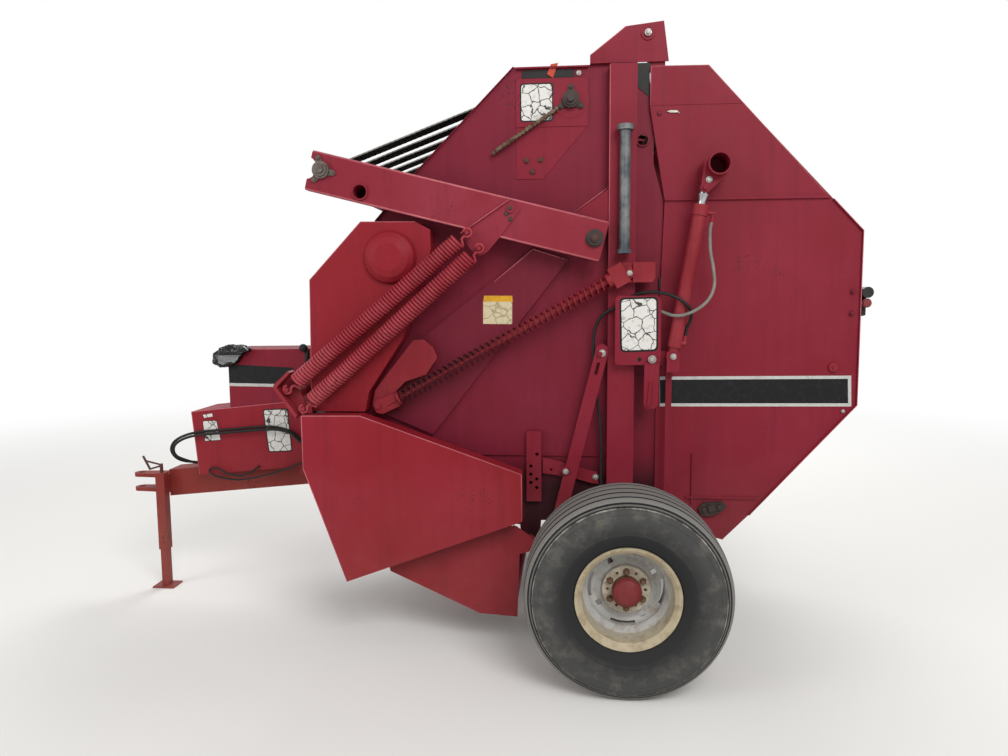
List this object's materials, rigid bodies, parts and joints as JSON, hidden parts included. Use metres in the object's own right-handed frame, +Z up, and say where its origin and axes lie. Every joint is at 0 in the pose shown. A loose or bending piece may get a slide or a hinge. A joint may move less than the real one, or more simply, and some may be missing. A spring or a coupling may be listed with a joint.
{
  "type": "round baler",
  "caption": "Towed round baler with a rear tailgate on hydraulic cylinders, swinging tension arms, tined pickup, belts, drawbar with jack and road wheels.",
  "frame": {"origin": "middle of the machine's footprint box, on the ground", "axes": "+X to the rear, +Y to the machine's right, +Z up"},
  "size_m": [3.756, 2.378, 2.757],
  "materials": {
    "red_paint": "weathered maroon red enamel, satin, with scuffs",
    "faded_paint": "sun-faded lighter red enamel, satin",
    "drawbar_paint": "worn orange-red enamel",
    "belt_rubber": "black ribbed belting, matt",
    "hose_rubber": "black hose rubber, satin",
    "tyre_rubber": "dusty black ribbed tyre rubber",
    "wheel_paint": "cream wheel enamel with dirt and rust at the flange",
    "bare_steel": "worn bare steel",
    "dark_steel": "greasy dark steel and cast iron",
    "grey_plastic": "grey plastic tube",
    "lamp_red": "red lamp lens",
    "lamp_body": "black lamp body",
    "rusty_steel": "dry rusty roller chain",
    "cover_cloth": "black coated cloth"
  },
  "bodies": {
    "frame": {"side_sheets": "red_paint", "posts": "red_paint", "braces": "red_paint", "top_hood": "red_paint", "bearing_plates": "red_paint", "top_bearings": "dark_steel", "hanging_chain": "rusty_steel", "cross_members": "red_paint", "axle": "dark_steel", "drawbar": "drawbar_paint", "hitch_clevis": "drawbar_paint", "gearbox": "dark_steel", "gearbox_shield": "red_paint", "soft_cover": "cover_cloth", "driveline_shield": "red_paint", "jack_tube": "drawbar_paint", "jack_crank": "bare_steel", "drive_shield": "red_paint", "pickup_shield": "red_paint", "frame_rollers": "bare_steel", "front_belts": "belt_rubber", "takeup_belts": "belt_rubber", "top_belts": "belt_rubber", "spring_anchors": "red_paint", "tension_springs": "red_paint", "idler_linkage": "red_paint", "idler_spring": "red_paint", "manual_tube": "grey_plastic", "latch_linkage": "red_paint", "control_plate": "red_paint", "cylinder_brackets": "red_paint", "pivot_pins": "dark_steel", "frame_hoses": "hose_rubber", "lamp_cable": "hose_rubber", "cylinder_hoses": "hose_rubber"},
    "tension_arm": {"tension_arms": "faded_paint", "takeup_roller": "bare_steel"},
    "tailgate": {"gate_sheets": "red_paint", "gate_covers": "red_paint", "gate_frame": "red_paint", "gate_rollers": "bare_steel", "gate_belts": "belt_rubber", "tail_lamps": "lamp_body", "marker_lamps": "lamp_red"},
    "cylinder_left": {"barrel_left": "red_paint"},
    "cylinder_right": {"barrel_right": "red_paint"},
    "piston_left": {"rod_left": "bare_steel"},
    "piston_right": {"rod_right": "bare_steel"},
    "road_wheel_left": {"wheel_left": "wheel_paint", "hub_left": "dark_steel", "cap_left": "red_paint", "tyre_left": "tyre_rubber"},
    "road_wheel_right": {"wheel_right": "wheel_paint", "hub_right": "dark_steel", "cap_right": "red_paint", "tyre_right": "tyre_rubber"},
    "pickup": {"pickup_frame": "red_paint", "pickup_strippers": "red_paint"},
    "reel": {"pickup_reel": "dark_steel"},
    "jack": {"jack_leg": "drawbar_paint"}
  },
  "joints": [
    {"name": "gate_hinge", "type": "hinge", "parent": "frame", "child": "tailgate", "pos_m": [0.909, 0, 2.708], "axis": [0, -1, 0], "range_deg": [0, 45], "deforming": ["top_belts"]},
    {"name": "arm_swing", "type": "hinge", "parent": "frame", "child": "tension_arm", "pos_m": [0.684, 0, 1.835], "axis": [0, 1, 0], "range_deg": [0, 45], "deforming": ["takeup_belts", "tension_springs"]},
    {"name": "barrel_left_hinge", "type": "hinge", "parent": "frame", "child": "cylinder_left", "pos_m": [1.022, -0.7, 1.33], "axis": [0, 1, 0], "range_deg": [0, 16.93], "deforming": ["cylinder_hoses"]},
    {"name": "barrel_right_hinge", "type": "hinge", "parent": "frame", "child": "cylinder_right", "pos_m": [1.022, 0.7, 1.33], "axis": [0, 1, 0], "range_deg": [0, 16.93]},
    {"name": "rod_left_slide", "type": "slide", "parent": "cylinder_left", "child": "piston_left", "axis": [0.1682, 0, 0.9857], "range_m": [0, 0.4701]},
    {"name": "rod_right_slide", "type": "slide", "parent": "cylinder_right", "child": "piston_right", "axis": [0.1682, 0, 0.9857], "range_m": [0, 0.4701]},
    {"name": "wheel_left_spin", "type": "hinge", "parent": "frame", "child": "road_wheel_left", "pos_m": [0.81, -1.03, 0.413], "axis": [0, 1, 0], "continuous": true},
    {"name": "wheel_right_spin", "type": "hinge", "parent": "frame", "child": "road_wheel_right", "pos_m": [0.81, 1.03, 0.413], "axis": [0, 1, 0], "continuous": true},
    {"name": "pickup_lift", "type": "hinge", "parent": "frame", "child": "pickup", "pos_m": [0.4, 0, 0.48], "axis": [0, -1, 0], "range_deg": [0, 20]},
    {"name": "reel_spin", "type": "hinge", "parent": "pickup", "child": "reel", "pos_m": [0.14, 0, 0.365], "axis": [0, 1, 0], "continuous": true},
    {"name": "jack_slide", "type": "slide", "parent": "frame", "child": "jack", "axis": [0, 0, 1], "range_m": [0, 0.2]}
  ],
  "couplings": [
    {"joint": "barrel_left_hinge", "follows": "gate_hinge", "ratio": 0.3651},
    {"joint": "rod_left_slide", "follows": "gate_hinge", "m_per_rad": 0.59476},
    {"joint": "barrel_right_hinge", "follows": "gate_hinge", "ratio": 0.3651},
    {"joint": "rod_right_slide", "follows": "gate_hinge", "m_per_rad": 0.59476}
  ]
}
